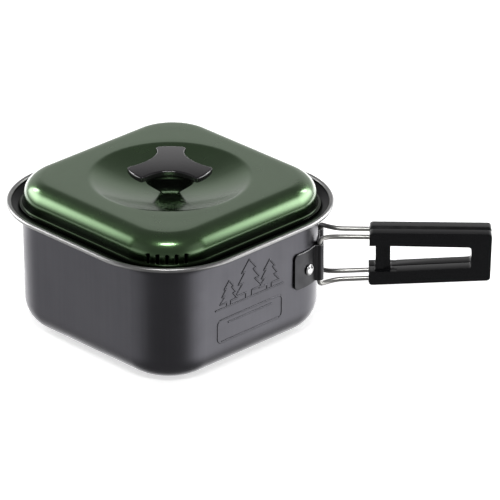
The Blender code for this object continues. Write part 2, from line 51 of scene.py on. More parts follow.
cornerSteps = 26
sideSteps = 6


def facing(turn):
    return Vector((math.cos(turn), math.sin(turn)))


def around(radius, turn, height):
    return Vector((radius * math.cos(turn), radius * math.sin(turn), height))


def meshObject(name, bm, sharpAngle=32):
    bmesh.ops.recalc_face_normals(bm, faces=bm.faces)
    mesh = bpy.data.meshes.new(name)
    bm.to_mesh(mesh)
    bm.free()
    mesh.shade_smooth()
    mesh.set_sharp_from_angle(angle=math.radians(sharpAngle))
    obj = bpy.data.objects.new(name, mesh)
    bpy.context.scene.collection.objects.link(obj)
    return obj


def loftInto(bm, rings, loop=False):
    loops = [[bm.verts.new(point) for point in ring] for ring in rings]
    count = len(rings[0])
    pairs = list(zip(loops, loops[1:]))
    if loop:
        pairs.append((loops[-1], loops[0]))
    for near, far in pairs:
        for i in range(count):
            j = (i + 1) % count
            bm.faces.new((near[i], near[j], far[j], far[i]))
    if not loop:
        bm.faces.new(loops[0])
        bm.faces.new(loops[-1])


def loftObject(name, rings, loop=False, sharpAngle=32):
    bm = bmesh.new()
    loftInto(bm, rings, loop)
    return meshObject(name, bm, sharpAngle)


def squareRing(half, corner, height):
    # rounded square whose corners point along X and Y
    centre = (half - corner) * math.sqrt(2)
    points = []
    for quarter in range(4):
        axis = math.radians(90 * quarter)
        for step in range(cornerSteps + 1):
            turn = axis + math.radians(90 * step / cornerSteps - 45)
            points.append(around(centre, axis, height) + around(corner, turn, 0))
        last = points[-1]
        following = axis + math.radians(90)
        first = around(centre, following, height) + around(corner, following - math.radians(45), 0)
        for step in range(1, sideSteps):
            points.append(last.lerp(first, step / sideSteps))
    return points


def circleRing(radius, height):
    # circle whose points line up with those of squareRing
    points = []
    for point in squareRing(1, 0.6, height):
        turn = math.atan2(point.y, point.x)
        points.append(around(radius, turn, height))
    return points


def bezier(start, lead, trail, end, steps):
    points = []
    for step in range(steps + 1):
        t = step / steps
        s = 1 - t
        points.append(s * s * s * start + 3 * s * s * t * lead + 3 * s * t * t * trail + t * t * t * end)
    return points


def throughPoints(points, steps):
    # smooth curve through all the points, with steps stretches between each two
    made = []
    for i in range(len(points) - 1):
        before = points[max(i - 1, 0)]
        start = points[i]
        end = points[i + 1]
        after = points[min(i + 2, len(points) - 1)]
        lead = start + (end - before) / 6
        trail = end - (after - start) / 6
        made += bezier(start, lead, trail, end, steps)[:-1]
    made.append(points[-1])
    return made


def turnedRings(profile, sides=64):
    rings = []
    for radius, height in profile:
        ring = []
        for i in range(sides):
            turn = 2 * math.pi * i / sides
            ring.append(around(radius, turn, height))
        rings.append(ring)
    return rings


def tubeRings(path, radius, sides=28):
    rings = []
    across = Vector((0, 1, 0))
    for i, point in enumerate(path):
        ahead = path[min(i + 1, len(path) - 1)]
        behind = path[max(i - 1, 0)]
        along = (ahead - behind).normalized()
        across = (across - along * across.dot(along)).normalized()
        other = along.cross(across)
        ring = []
        for side in range(sides):
            turn = 2 * math.pi * side / sides
            ring.append(point + radius * (math.cos(turn) * across + math.sin(turn) * other))
        rings.append(ring)
    return rings


def takeAway(obj, cutter):
    modifier = obj.modifiers.new("cut " + cutter.name, "BOOLEAN")
    modifier.operation = "DIFFERENCE"
    modifier.solver = "EXACT"
    modifier.object = cutter


def bake(obj, *cutters):
    # settle the modifiers into the mesh and drop the cutters
    graph = bpy.context.evaluated_depsgraph_get()
    graph.update()
    mesh = bpy.data.meshes.new_from_object(obj.evaluated_get(graph))
    obj.modifiers.clear()
    obj.data = mesh
    for cutter in cutters:
        bpy.data.objects.remove(cutter, do_unlink=True)
    return obj


def finishPiece(obj, body, slot, material, *nodes):
    obj.data.materials.clear()
    obj.data.materials.append(material)
    if nodes:
        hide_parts(*nodes)
    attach(obj, body)


# ways of making a material


class Surface:
    def __init__(self, name, colour, roughness, metallic):
        self.material = bpy.data.materials.new(name)
        self.material.use_nodes = True
        self.nodes = self.material.node_tree.nodes
        self.links = self.material.node_tree.links
        self.shader = self.nodes["Principled BSDF"]
        self.shader.inputs["Base Color"].default_value = (*colour, 1)
        self.shader.inputs["Roughness"].default_value = roughness
        self.shader.inputs["Metallic"].default_value = metallic
        self.place = self.nodes.new("ShaderNodeTexCoord").outputs["Object"]
        self.normal = None

    def noise(self, scale, detail=4, stretch=(1, 1, 1), rough=0.5):
        # grey cloud; stretch squeezes it along an axis, so that a small number makes long streaks
        mapping = self.nodes.new("ShaderNodeMapping")
        mapping.inputs["Scale"].default_value = stretch
        self.links.new(self.place, mapping.inputs["Vector"])
        texture = self.nodes.new("ShaderNodeTexNoise")
        texture.inputs["Scale"].default_value = scale
        texture.inputs["Detail"].default_value = detail
        texture.inputs["Roughness"].default_value = rough
        self.links.new(mapping.outputs["Vector"], texture.inputs["Vector"])
        return texture.outputs["Fac"]

    def spread(self, value, low, high, fromLow=0.3, fromHigh=0.7):
        node = self.nodes.new("ShaderNodeMapRange")
        node.inputs["From Min"].default_value = fromLow
        node.inputs["From Max"].default_value = fromHigh
        node.inputs["To Min"].default_value = low
        node.inputs["To Max"].default_value = high
        self.links.new(value, node.inputs["Value"])
        return node.outputs["Result"]

    def mix(self, factor, first, second):
        node = self.nodes.new("ShaderNodeMix")
        node.data_type = "RGBA"
        self.links.new(factor, node.inputs["Factor"])
        for socket, colour in ((node.inputs["A"], first), (node.inputs["B"], second)):
            if isinstance(colour, tuple):
                socket.default_value = (*colour, 1)
            else:
                self.links.new(colour, socket)
        return node.outputs["Result"]

    def colour(self, value):
        self.links.new(value, self.shader.inputs["Base Color"])

    def roughness(self, value):
        self.links.new(value, self.shader.inputs["Roughness"])

    def bump(self, height, depth):
        # depth in metres, on top of the bumps already there
        node = self.nodes.new("ShaderNodeBump")
        node.inputs["Strength"].default_value = 1
        node.inputs["Distance"].default_value = depth
        self.links.new(height, node.inputs["Height"])
        if self.normal:
            self.links.new(self.normal, node.inputs["Normal"])
        self.normal = node.outputs["Normal"]
        self.links.new(self.normal, self.shader.inputs["Normal"])

    def height(self, low, high):
        # 0 below one height and 1 above the other
        parts = self.nodes.new("ShaderNodeSeparateXYZ")
        self.links.new(self.place, parts.inputs["Vector"])
        return self.spread(parts.outputs["Z"], 0, 1, low, high)

    def product(self, first, second):
        node = self.nodes.new("ShaderNodeMath")
        node.operation = "MULTIPLY"
        self.links.new(first, node.inputs[0])
        self.links.new(second, node.inputs[1])
        return node.outputs["Value"]


def darkAnodised(wearAndHighlightLow, wearAndHighlightHigh):
    surface = Surface("dark anodised aluminium", (0.11, 0.11, 0.122), 0.34, 1.0)
    cloud = surface.noise(14, 3)
    streaks = surface.noise(420, 5, (1, 1, 0.03), 0.6)
    plain = surface.mix(surface.spread(cloud, 0, 1), (0.100, 0.099, 0.111), (0.116, 0.115, 0.127))
    drawn = surface.mix(surface.spread(streaks, 0, 0.18), plain, (0.150, 0.149, 0.160))
    # on the pot the lighter band at the rim is bare worn metal of the rolled edge
    patches = surface.spread(surface.noise(160, 5), 0.75, 1.0)
    wearAndHighlight = surface.product(surface.height(wearAndHighlightLow, wearAndHighlightHigh), patches)
    shell = surface.mix(wearAndHighlight, drawn, (0.50, 0.50, 0.495))
    # points on the inner face get painted shade: a near-black colour in place of the metal
    inside = surface.nodes.new("ShaderNodeAttribute")
    inside.attribute_name = "inside"
    surface.colour(surface.mix(inside.outputs["Fac"], shell, (0.030, 0.030, 0.032)))
    surface.roughness(surface.spread(surface.noise(60, 6), 0.30, 0.40))
    surface.bump(surface.noise(2600, 3), 0.000012)
    surface.bump(streaks, 0.000006)
    return surface.material


def greenAnodised(shadeFullBelow, shadeEndAbove):
    # painted shade: the green goes near black toward the lip, and the coat thins there too
    surface = Surface("bright green anodised aluminium", (0.07, 0.14, 0.05), 0.2, 1.0)
    cloud = surface.noise(22, 3)
    dye = surface.mix(surface.spread(cloud, 0, 1), (0.082, 0.168, 0.062), (0.096, 0.188, 0.073))
    surface.colour(surface.mix(surface.height(shadeFullBelow, shadeEndAbove), (0.010, 0.024, 0.006), dye))
    surface.roughness(surface.spread(surface.noise(90, 5), 0.22, 0.28))
    surface.bump(surface.noise(1500, 3), 0.000004)
    coat = surface.spread(surface.height(shadeFullBelow, shadeEndAbove), 0.25, 1.0, 0, 1)
    surface.links.new(coat, surface.shader.inputs["Coat Weight"])
    surface.shader.inputs["Coat Roughness"].default_value = 0.14
    surface.shader.inputs["Coat IOR"].default_value = 1.66
    return surface.material


def glossBlack():
    surface = Surface("gloss black moulding", (0.009, 0.008, 0.010), 0.08, 0.0)
    surface.colour(surface.mix(surface.noise(60, 4), (0.0080, 0.0070, 0.0085), (0.0130, 0.0112, 0.0135)))
    surface.roughness(surface.spread(surface.noise(240, 5), 0.05, 0.12))
    surface.bump(surface.noise(420, 2), 0.000010)
    surface.shader.inputs["IOR"].default_value = 1.75
    return surface.material


def matteBlack():
    surface = Surface("fine matte black moulding", (0.0032, 0.0036, 0.0046), 0.28, 0.0)
    surface.colour(surface.mix(surface.noise(80, 5), (0.0020, 0.0022, 0.0028), (0.0034, 0.0037, 0.0045)))
    surface.roughness(surface.spread(surface.noise(300, 6), 0.17, 0.24))
    surface.bump(surface.noise(2600, 4), 0.000002)
    surface.shader.inputs["IOR"].default_value = 1.45
    return surface.material


def polishedStainless():
    surface = Surface("polished stainless wire", (0.70, 0.69, 0.66), 0.16, 1.0)
    drawn = surface.noise(260, 3, (0.1, 1, 1))
    surface.colour(surface.mix(surface.noise(120, 4), (0.50, 0.495, 0.475), (0.57, 0.565, 0.54)))
    surface.roughness(surface.spread(drawn, 0.28, 0.32))
    return surface.material


def darkSheetSteel(wearAndHighlightLow, wearAndHighlightHigh):
    surface = Surface("dark satin sheet steel", (0.10, 0.10, 0.104), 0.33, 1.0)
    cloud = surface.spread(surface.noise(70, 5), 0, 1)
    base = surface.mix(cloud, (0.052, 0.052, 0.055), (0.078, 0.078, 0.081))
    # the light patches along the top edge are a painted highlight
    patches = surface.spread(surface.noise(500, 4), 0.3, 0.9)
    wearAndHighlight = surface.product(surface.height(wearAndHighlightLow, wearAndHighlightHigh), patches)
    surface.colour(surface.mix(wearAndHighlight, base, (0.42, 0.42, 0.42)))
    surface.roughness(surface.spread(surface.noise(180, 6), 0.26, 0.40))
    surface.bump(surface.noise(1900, 4), 0.000012)
    return surface.material


def rivetAluminium():
    surface = Surface("bright rivet aluminium", (0.88, 0.88, 0.88), 0.24, 1.0)
    surface.colour(surface.mix(surface.noise(500, 4), (0.80, 0.80, 0.80), (0.93, 0.93, 0.92)))
    surface.roughness(surface.spread(surface.noise(700, 4), 0.18, 0.32))
    surface.bump(surface.noise(900, 3), 0.00003)
    return surface.material


def turnedMetal(name, dark, light, rough):
    # small turned hardware: fine rings round its own axis
    surface = Surface(name, light, rough, 1.0)
    rings = surface.noise(2400, 3, (0.02, 0.02, 1))
    surface.colour(surface.mix(surface.noise(400, 4), dark, light))
    surface.roughness(surface.spread(surface.noise(600, 4), 0.8 * rough, 1.3 * rough))
    surface.bump(rings, 0.00001)
    return surface.material


# camera, light and floor

studio = {
    "elevation": 25.72,
    "azimuth": 0.54,
    "distance": 3.339,
    "lens": 425.73,
    "aimRight": 0.04485,
    "aimHeight": 0.0444,
    "floorSize": 12.0,
    "floorColour": (0.86, 0.86, 0.86),
    "floorGlow": 0.62,
    "cardReach": 0.46,  # from the middle of the pot out to each card
    "cardDepth": 0.60,
}


def makeCamera():
    turn = math.radians(studio["azimuth"])
    rise = math.radians(studio["elevation"])
    right = Vector((math.cos(turn), math.sin(turn), 0))
    back = Vector((math.sin(turn) * math.cos(rise), -math.cos(turn) * math.cos(rise), math.sin(rise)))
    data = bpy.data.cameras.new("camera")
    data.lens = studio["lens"]
    data.sensor_width = 36
    data.clip_end = 50
    camera = bpy.data.objects.new("camera", data)
    aim = right * studio["aimRight"] + Vector((0, 0, studio["aimHeight"]))
    camera.location = aim + back * studio["distance"]
    camera.rotation_mode = "QUATERNION"
    camera.rotation_quaternion = back.to_track_quat("Z", "Y")
    bpy.context.scene.collection.objects.link(camera)
    bpy.context.scene.camera = camera


def makeFloor():
    bpy.ops.mesh.primitive_plane_add(size=studio["floorSize"])
    floor = bpy.context.object
    floor.name = "floor"
    surface = Surface("pale floor", studio["floorColour"], 0.9, 0.0)
    surface.colour(surface.mix(surface.noise(3, 2), (0.85, 0.85, 0.85), (0.88, 0.88, 0.88)))
    surface.shader.inputs["Specular IOR Level"].default_value = 0
    surface.shader.inputs["Emission Color"].default_value = (1, 1, 1, 1)
    surface.shader.inputs["Emission Strength"].default_value = studio["floorGlow"]
    floor.data.materials.append(surface.material)
    floor.visible_glossy = False


def makeCard(name, side, strength, low, high, front, full):
    # glowing card beside the pot, brightest half way up and fading out toward the front
    bpy.ops.mesh.primitive_plane_add(size=1)
    card = bpy.context.object
    card.name = name
    material = bpy.data.materials.new(name)
    material.use_nodes = True
    nodes = material.node_tree.nodes
    links = material.node_tree.links
    place = nodes.new("ShaderNodeTexCoord").outputs["Generated"]
    parts = nodes.new("ShaderNodeSeparateXYZ")
    links.new(place, parts.inputs["Vector"])
    depth = studio["cardDepth"]

    def fade(axis, dark, bright):
        node = nodes.new("ShaderNodeMapRange")
        node.interpolation_type = "SMOOTHSTEP"
        node.inputs["From Min"].default_value = dark
        node.inputs["From Max"].default_value = bright
        links.new(parts.outputs[axis], node.inputs["Value"])
        return node.outputs["Result"]

    def times(first, second):
        node = nodes.new("ShaderNodeMath")
        node.operation = "MULTIPLY"
        links.new(first, node.inputs[0])
        if isinstance(second, float):
            node.inputs[1].default_value = second
        else:
            links.new(second, node.inputs[1])
        return node.outputs["Value"]

    level = times(times(fade("Y", 0, 0.45), fade("Y", 1, 0.5)), fade("X", 0, (full - front) / depth))
    level = times(times(level, fade("X", 1, 0.8)), float(strength))
    glow = nodes.new("ShaderNodeEmission")
    links.new(level, glow.inputs["Strength"])
    links.new(glow.outputs["Emission"], nodes["Material Output"].inputs["Surface"])
    nodes.remove(nodes["Principled BSDF"])
    card.data.materials.append(material)
    card.data.transform(Matrix.Diagonal((depth, high - low, 1, 1)))
    upright = Matrix((
        (0, 0, 1, side * studio["cardReach"]),
        (1, 0, 0, front + depth / 2),
        (0, 1, 0, (low + high) / 2),
    ))
    card.matrix_world = upright.to_4x4()
    card.visible_camera = False
    card.visible_shadow = False


def makeStrip(name, place, aim, size, radiance):
    # radiance is how bright its face looks
    data = bpy.data.lights.new(name, "AREA")
    data.shape = "ELLIPSE"
    data.size, data.size_y = size
    data.energy = radiance * math.pi * math.pi / 4 * size[0] * size[1]
    light = bpy.data.objects.new(name, data)
    light.location = place
    light.rotation_mode = "QUATERNION"
    light.rotation_quaternion = (Vector(place) - Vector(aim)).to_track_quat("Z", "Y")
    bpy.context.scene.collection.objects.link(light)


def makeRoom():
    # soft grey room over a white table, brighter to the right and behind
    world = bpy.data.worlds.new("studio room")
    bpy.context.scene.world = world
    world.use_nodes = True
    nodes = world.node_tree.nodes
    links = world.node_tree.links
    direction = nodes.new("ShaderNodeTexCoord").outputs["Generated"]
    parts = nodes.new("ShaderNodeSeparateXYZ")
    links.new(direction, parts.inputs["Vector"])

    def ramp(axis, fromLow, fromHigh, low, high):
        node = nodes.new("ShaderNodeMapRange")
        node.interpolation_type = "SMOOTHSTEP"
        node.inputs["From Min"].default_value = fromLow
        node.inputs["From Max"].default_value = fromHigh
        node.inputs["To Min"].default_value = low
        node.inputs["To Max"].default_value = high
        links.new(parts.outputs[axis], node.inputs["Value"])
        return node.outputs["Result"]

    def combine(operation, *values):
        total = values[0]
        for value in values[1:]:
            node = nodes.new("ShaderNodeMath")
            node.operation = operation
            for socket, given in zip(node.inputs, (total, value)):
                if isinstance(given, (int, float)):
                    socket.default_value = given
                else:
                    links.new(given, socket)
            total = node.outputs["Value"]
        return total

    right = ramp("X", 0.48, 0.94, 0, 1)
    left = ramp("X", -0.48, -0.94, 0, 1)
    behind = ramp("Y", 0.25, 0.9, 0, 1)
    below = ramp("Z", 0.05, -0.15, 0, 1)
    low = ramp("Z", 0.66, 0.36, 0, 1)
    above = ramp("Z", -0.15, 0.05, 0, 1)
    tableRight = combine("MULTIPLY", right, 1.5)
    tableLeft = combine("MULTIPLY", left, 0.56)
    tableBehind = combine("MULTIPLY", behind, 2.0)
    table = combine("ADD", 0.20, tableRight, tableLeft, tableBehind)
    wallBehind = combine("MULTIPLY", behind, low, 0.38)
    wallRight = combine("MULTIPLY", right, low, 0.35)
    wallLeft = combine("MULTIPLY", left, low, 0.12)
    walls = combine("ADD", 0.16, wallBehind, wallRight, wallLeft)
    total = combine("ADD", combine("MULTIPLY", table, below), combine("MULTIPLY", walls, above))
    background = nodes["Background"]
    links.new(total, background.inputs["Strength"])
    background.inputs["Color"].default_value = (1.0, 0.995, 1.0, 1)


makeCamera()
makeFloor()
makeRoom()
makeCard("left card", -1, 4.7, 0.02, 0.46, -0.165, 0.06)
makeCard("right card", 1, 4.9, 0.00, 0.46, -0.18, 0.02)
makeStrip("front light", (0, -0.80, 1.10), (0, 0, 0.05), (0.62, 0.17), 20.0)
makeStrip("left rim light", (-0.40, 0.24, 0.33), (0, 0, 0.09), (0.08, 0.13), 9.0)
makeStrip("right rim light", (0.40, 0.24, 0.33), (0, 0, 0.09), (0.08, 0.13), 8.0)
bpy.context.scene.view_settings.view_transform = "Standard"
print("studio ready")

# pot

pot = {
    "half": 0.0681,
    "corner": 0.0313,
    "taper": 0.0008,
    "sheet": 0.0012,
    "baseFillet": 0.017,
    "flareBottom": 0.0668,
    "flareTop": 0.0742,
    "flareReach": 0.0099,
    "cornerGain": 1.715,
    "beadRadius": 0.0014,
    "beadReach": 0.0105,
    "wearFrom": 0.0029,  # how far below the rim the bare metal of the rolled edge starts
    "wearFull": 0.0019,
}
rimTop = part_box("pot_body")[1].z
beadHeight = rimTop - pot["beadRadius"]


def potRing(flare, offset, height):
    corner = pot["corner"] + pot["cornerGain"] * flare + offset
    return squareRing(pot["half"] + flare + offset, corner, height)


def wallHalf(height):
    # half width of the slightly tapered wall at a height
    share = (height - pot["baseFillet"]) / (pot["flareBottom"] - pot["baseFillet"])
    return pot["half"] - pot["taper"] * (1 - share)


def makePot():
    outside = []
    inside = []
    fillet = pot["baseFillet"]
    inner = fillet - pot["sheet"]
    for share in (0.3, 0.7):
        outside.append(potRing(0, -fillet - pot["taper"] - (1 - share) * 0.02, 0))
        inside.append(potRing(0, -fillet - pot["taper"] - (1 - share) * 0.02, pot["sheet"]))
    for step in range(17):
        turn = math.pi / 2 * step / 16
        shift = fillet * (math.sin(turn) - 1) - pot["taper"]
        outside.append(potRing(0, shift, fillet * (1 - math.cos(turn))))
        shift = inner * math.sin(turn) - fillet - pot["taper"]
        inside.append(potRing(0, shift, fillet - inner * math.cos(turn)))
    for step in range(1, 8):
        share = step / 8
        height = fillet + share * (pot["flareBottom"] - fillet)
        outside.append(potRing(0, -pot["taper"] * (1 - share), height))
        inside.append(potRing(0, -pot["taper"] * (1 - share) - pot["sheet"], height))
    rise = pot["flareTop"] - pot["flareBottom"]
    start = Vector((0, pot["flareBottom"]))
    lead = Vector((0, pot["flareBottom"] + 0.6 * rise))
    trail = Vector((0.2 * pot["flareReach"], pot["flareBottom"] + 0.8 * rise))
    end = Vector((pot["flareReach"], pot["flareTop"]))
    curve = bezier(start, lead, trail, end, 18)
    for i, point in enumerate(curve):
        along = (curve[min(i + 1, 18)] - curve[max(i - 1, 0)]).normalized()
        inward = Vector((-along.y, along.x)) * pot["sheet"]
        outside.append(potRing(point.x, 0, point.y))
        inside.append(potRing(point.x, inward.x, point.y + inward.y))
    bead = []
    for step in range(21):
        turn = math.radians(-80 + 245 * step / 20)
        reach = pot["beadRadius"] * math.cos(turn)
        bead.append(potRing(pot["beadReach"], reach, beadHeight + pot["beadRadius"] * math.sin(turn)))
    body = loftObject("potBody", outside + bead + inside[::-1], sharpAngle=40)
    # the inner face gets near-black painted shade, and the material reads which points are on it
    face = body.data.attributes.new("inside", "FLOAT", "POINT")
    first = len(outside[0]) * (len(outside) + len(bead))
    face.data.foreach_set("value", [float(i >= first) for i in range(len(body.data.vertices))])
    return body


potMetal = darkAnodised(rimTop - pot["wearFrom"], rimTop - pot["wearFull"])
finishPiece(makePot(), "pot", "pot", potMetal, "pot_body")
print("pot made")

# raised motif on the wall beside the handles: plain pines over a rounded panel with two lines

motif = {
    "middle": -3.5,  # millimetres along the wall from its middle
    "ground": 40.0,  # height of the ground line, millimetres
    "width": 0.00105,
    "height": 0.00040,
    "sunk": 0.00012,
    # millimetres from here on: (place along the ground, height) of each pine
    "pines": ((-16.5, 15), (-1, 23), (15, 17.5)),
    "pineLift": 0.6,
    "groundEnds": (-27, 26),
    "panelReach": 22,
    "panelDrops": (10, 18),
    "panelCorner": 3,
    "lines": ((10.0, 17), (20.6, 22)),
}
# (share of the height out from the trunk, share of the height up) along one side of a pine
pineTiers = [
    (0.10, 0),
    (0.10, 0.14),
    (0.46, 0.14),
    (0.20, 0.42),
    (0.36, 0.42),
    (0.14, 0.70),
    (0.25, 0.70),
    (0, 1.0),
]


def wallPoint(along, height):
    # point on the front right wall, from millimetres along it and up it
    z = height / 1000
    out = Vector((1, -1, 0)).normalized()
    side = Vector((1, 1, 0)).normalized()
    return out * wallHalf(z) + side * (along / 1000) + Vector((0, 0, z))


def ridgeInto(bm, points, closed=False):
    out = Vector((1, -1, 0)).normalized()
    count = len(points)
    rings = []
    for i, point in enumerate(points):
        if closed:
            ahead, behind = points[(i + 1) % count], points[i - 1]
        else:
            ahead, behind = points[min(i + 1, count - 1)], points[max(i - 1, 0)]
        along = (ahead - behind).normalized()
        across = out.cross(along).normalized()
        ring = [point - across * motif["width"] / 2 - out * motif["sunk"]]
        for step in range(9):
            turn = math.pi * step / 8
            spread = -math.cos(turn) * motif["width"] / 2
            ring.append(point + across * spread + out * math.sin(turn) * motif["height"])
        ring.append(point + across * motif["width"] / 2 - out * motif["sunk"])
        rings.append(ring)
    loftInto(bm, rings, closed)


def alongLine(corners, spacing=0.8):
    made = []
    for start, end in zip(corners, corners[1:]):
        start, end = Vector(start), Vector(end)
        steps = max(1, round((end - start).length / spacing))
        made += [start.lerp(end, step / steps) for step in range(steps)]
    made.append(Vector(corners[-1]))
    return made


def pineOutline(base, size):
    # three tiers and a short trunk, up one side and down the other
    left = [(base[0] - x * size, base[1] + y * size) for x, y in pineTiers]
    right = [(base[0] + x * size, base[1] + y * size) for x, y in pineTiers[-2::-1]]
    return left + right


def makeMotif():
    bm = bmesh.new()
    middle = motif["middle"]
    ground = motif["ground"]
    for shift, size in motif["pines"]:
        outline = pineOutline((middle + shift, ground + motif["pineLift"]), size)
        ridgeInto(bm, [wallPoint(*p) for p in alongLine(outline)])
    ends = [(middle + shift, ground) for shift in motif["groundEnds"]]
    ridgeInto(bm, [wallPoint(*p) for p in alongLine(ends)])
    reach = motif["panelReach"]
    upper, lower = motif["panelDrops"]
    radius = motif["panelCorner"]
    panel = []
    corners = ((reach, upper, 0), (-reach, upper, 90), (-reach, lower, 180), (reach, lower, 270))
    for cornerX, drop, first in corners:
        for step in range(7):
            turn = math.radians(first + 90 * step / 6)
            x = middle + cornerX + radius * math.cos(turn)
            panel.append(wallPoint(x, ground - drop + radius * math.sin(turn)))
    ridgeInto(bm, panel, closed=True)
    for drop, reach in motif["lines"]:
        line = [(middle - reach, ground - drop), (middle + reach, ground - drop)]
        ridgeInto(bm, [wallPoint(*p) for p in alongLine(line)])
    return meshObject("potMotif", bm, sharpAngle=60)


finishPiece(makeMotif(), "pot", "pot", potMetal)
print("motif made")

# lid

lid = {
    "half": 0.0674,
    "corner": 0.0309,
    "sheet": 0.0010,
    "shoulder": 0.011,
    "cornerGain": 0.8,
    "lipReach": 0.0021,
    "lipTop": 0.0744,
    "lipBend": 0.0768,
    "dishRadius": 0.0448,
    "dishDepth": 0.009,
    "seatRadius": 0.008,
    "dishEdge": 0.0022,
    "slots": 5,
    "slotWidth": 0.0018,
    "slotPitch": 0.0052,
    "slotBottom": 0.0752,
    "slotTop": 0.0811,
    "slotCutDepth": 0.009,
    "slotCutStart": 0.004,  # how far outside the corner the slot cutters start
    "screwHole": 0.0023,
    "shadeBlend": 0.0004,
}
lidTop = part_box("lid_shell")[1].z
seatHeight = lidTop - lid["dishDepth"]


def lidRing(flare, offset, height):
    corner = lid["corner"] + lid["cornerGain"] * flare + offset
    return squareRing(lid["half"] + flare + offset, corner, height)


def dishHeight(radius, sheet):
    ball = (lid["dishRadius"] ** 2 + lid["dishDepth"] ** 2) / (2 * lid["dishDepth"])
    reach = max(radius, lid["seatRadius"])
    sag = math.sqrt(ball ** 2 - reach ** 2) - math.sqrt(ball ** 2 - lid["seatRadius"] ** 2)
    return seatHeight - sag - sheet


def lidFace(sheet):
    # one face of the sheet, from the lip's edge up and in to the screw hole
    lip = lid["lipReach"]
    lift = sheet - lid["sheet"]
    skirt = [
        Vector((lip, 0, lid["lipTop"] - sheet)),
        Vector((0.60 * lip, 0, lid["lipTop"] + 0.0001 - sheet)),
        Vector((0.24 * lip, -0.7 * sheet, lid["lipTop"] + 0.0007 - 0.7 * sheet)),
        Vector((0.05 * lip, -sheet, lid["lipBend"] + 0.3 * lift + 0.3 * lid["sheet"])),
        Vector((0, -sheet, lidTop - lid["shoulder"])),
    ]
    rings = [lidRing(*point) for point in throughPoints(skirt, 5)]
    radius = lid["shoulder"] - sheet
    for step in range(1, 19):
        turn = math.pi / 2 * step / 18
        shift = radius * math.cos(turn) - lid["shoulder"]
        rings.append(lidRing(0, shift, lidTop - lid["shoulder"] + radius * math.sin(turn)))
    edge = lid["dishRadius"] + lid["dishEdge"]
    flatHalf = lid["half"] - lid["shoulder"]
    flatCorner = lid["corner"] - lid["shoulder"]
    outer = squareRing(flatHalf, flatCorner, lidTop - sheet)
    inner = circleRing(edge, lidTop - sheet)
    for share in (0.25, 0.5, 0.75):
        rings.append([a.lerp(b, share) for a, b in zip(outer, inner)])
    rings.append(inner)
    # rolled edge of the dish, from level to the slope of the ball
    inside = lid["dishRadius"] - 1.2 * lid["dishEdge"]
    slope = (dishHeight(inside, sheet) - dishHeight(inside - 0.001, sheet)) / 0.001
    start = Vector((edge, lidTop - sheet))
    end = Vector((inside, dishHeight(inside, sheet)))
    reach = 0.42 * (edge - inside)
    roll = bezier(start, start - Vector((reach, 0)), end + Vector((reach, reach * slope)), end, 10)
    rings += [circleRing(point.x, point.y) for point in roll[1:]]
    for step in range(1, 15):
        radius = inside + (lid["seatRadius"] - inside) * step / 14
        rings.append(circleRing(radius, dishHeight(radius, sheet)))
    for share in (0.66, 0.33, 0):
        radius = lid["screwHole"] + share * (lid["seatRadius"] - lid["screwHole"])
        rings.append(circleRing(radius, seatHeight - sheet))
    return rings


def slotCutter(index):
    middle = (index - (lid["slots"] - 1) / 2) * lid["slotPitch"]
    radius = lid["slotWidth"] / 2
    outline = []
    for height, first in ((lid["slotTop"] - radius, 0), (lid["slotBottom"] + radius, 180)):
        for step in range(13):
            turn = math.radians(first + 15 * step)
            outline.append((middle + radius * math.cos(turn), height + radius * math.sin(turn)))
    near = -((lid["half"] - lid["corner"]) * math.sqrt(2) + lid["corner"] + lid["slotCutStart"])
    rings = [[Vector((x, y, z)) for x, z in outline] for y in (near, near + lid["slotCutDepth"])]
    return loftObject(f"slotCutter{index}", rings)


def makeLid():
    rings = lidFace(0) + lidFace(lid["sheet"])[::-1]
    shell = loftObject("lidShell", rings, loop=True, sharpAngle=40)
    cutters = [slotCutter(index) for index in range(lid["slots"])]
    for cutter in cutters:
        takeAway(shell, cutter)
    return bake(shell, *cutters)


# painted shade on the lid's lower skirt and lip, fading out just above where the shoulder starts
lidMetal = greenAnodised(lid["lipBend"], lidTop - lid["shoulder"] + lid["shadeBlend"])
finishPiece(makeLid(), "lid", "lid", lidMetal, "lid_shell")
print("lid made")

# knob

knob = {
    "wing": 0.0243,
    "waist": 0.0120,
    "waistArc": 0.0205,
    "wingCorner": 0.0014,
    "thickness": 0.0033,
    "edge": 0.0008,
    "crown": 0.0016,
    "footFlat": 0.0043,
    "footCorner": 0.0058,
    "sharpness": 34,  # how crisp the edges of the stem are
    "socket": 0.00315,
    "socketDepth": 0.0105,
}
knobLow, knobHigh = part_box("lid_knob")
plateTop = knobHigh.z - knob["crown"]
plateBottom = plateTop - knob["thickness"]
# (share of the stem's height, growth of its flats, growth of its corners)
stemGrowth = [
    (0, 1, 1),
    (0.15, 1.1, 1.4),
    (0.34, 1.35, 2.0),
    (0.5, 1.65, 2.45),
    (0.73, 2.15, 2.75),
    (0.9, 2.5, 3.1),
]


